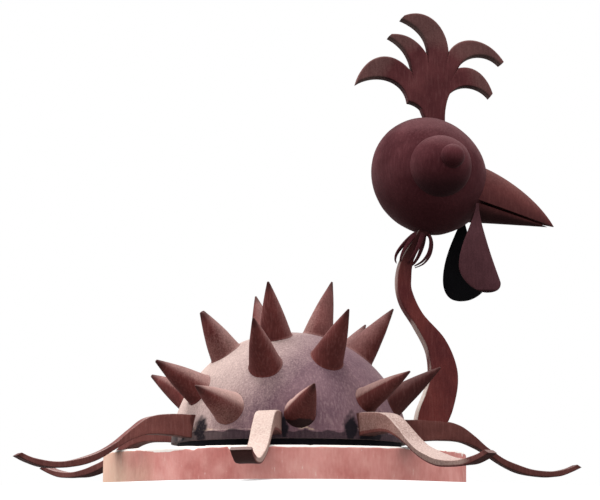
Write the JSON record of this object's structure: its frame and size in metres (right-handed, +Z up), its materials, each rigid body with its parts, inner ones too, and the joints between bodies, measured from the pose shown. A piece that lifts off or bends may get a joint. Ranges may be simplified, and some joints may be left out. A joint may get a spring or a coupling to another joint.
{
  "type": "chicken sculpture",
  "caption": "Weathered steel chicken sculpture: a spiked dome body on curved arms, with an S-shaped neck, ball head, finger comb, beak and wattles, on a round plinth.",
  "frame": {"origin": "centre of the plinth's underside, on the axis of the dome", "axes": "+Z up along the dome's axis; +X to the side that the bird faces, seen from -Y"},
  "size_m": [2.7896, 2.7892, 2.4275],
  "materials": {
    "painted_stone": null,
    "black_steel": "dull black",
    "dusty_rust": "dusty weathered steel",
    "red_rust": "red-brown weathered steel",
    "pale_rust": "sun-bleached weathered steel",
    "dark_rust": "dark maroon-brown weathered steel"
  },
  "bodies": {
    "root": {"arm_1": "pale_rust", "arm_2": "pale_rust", "arm_3": "pale_rust", "arm_4": "pale_rust", "arm_5": "pale_rust", "arm_6": "pale_rust", "arm_7": "pale_rust", "base_ring": "black_steel", "beak_lower": "dark_rust", "beak_upper": "dark_rust", "comb": "dark_rust", "dome_body": "dusty_rust", "eye_left": "dark_rust", "eye_right": "dark_rust", "head_ball": "dark_rust", "neck": "dark_rust", "plinth": "painted_stone", "pupil_left": "dark_rust", "pupil_right": "dark_rust", "ruff_claw_1": "dark_rust", "ruff_claw_2": "dark_rust", "ruff_claw_3": "dark_rust", "ruff_claw_4": "dark_rust", "ruff_claw_5": "dark_rust", "ruff_claw_6": "dark_rust", "ruff_claw_7": "dark_rust", "ruff_claw_8": "dark_rust", "spike_lower_1": "red_rust", "spike_lower_2": "red_rust", "spike_lower_3": "red_rust", "spike_lower_4": "red_rust", "spike_lower_5": "red_rust", "spike_lower_6": "red_rust", "spike_lower_7": "red_rust", "spike_lower_8": "red_rust", "spike_lower_9": "red_rust", "spike_middle_1": "red_rust", "spike_middle_2": "red_rust", "spike_middle_3": "red_rust", "spike_middle_4": "red_rust", "spike_middle_5": "red_rust", "spike_middle_6": "red_rust", "spike_middle_7": "red_rust", "spike_top_1": "red_rust", "spike_top_2": "red_rust", "spike_top_3": "red_rust", "wattle_left": "dark_rust", "wattle_right": "dark_rust"}
  },
  "joints": []
}
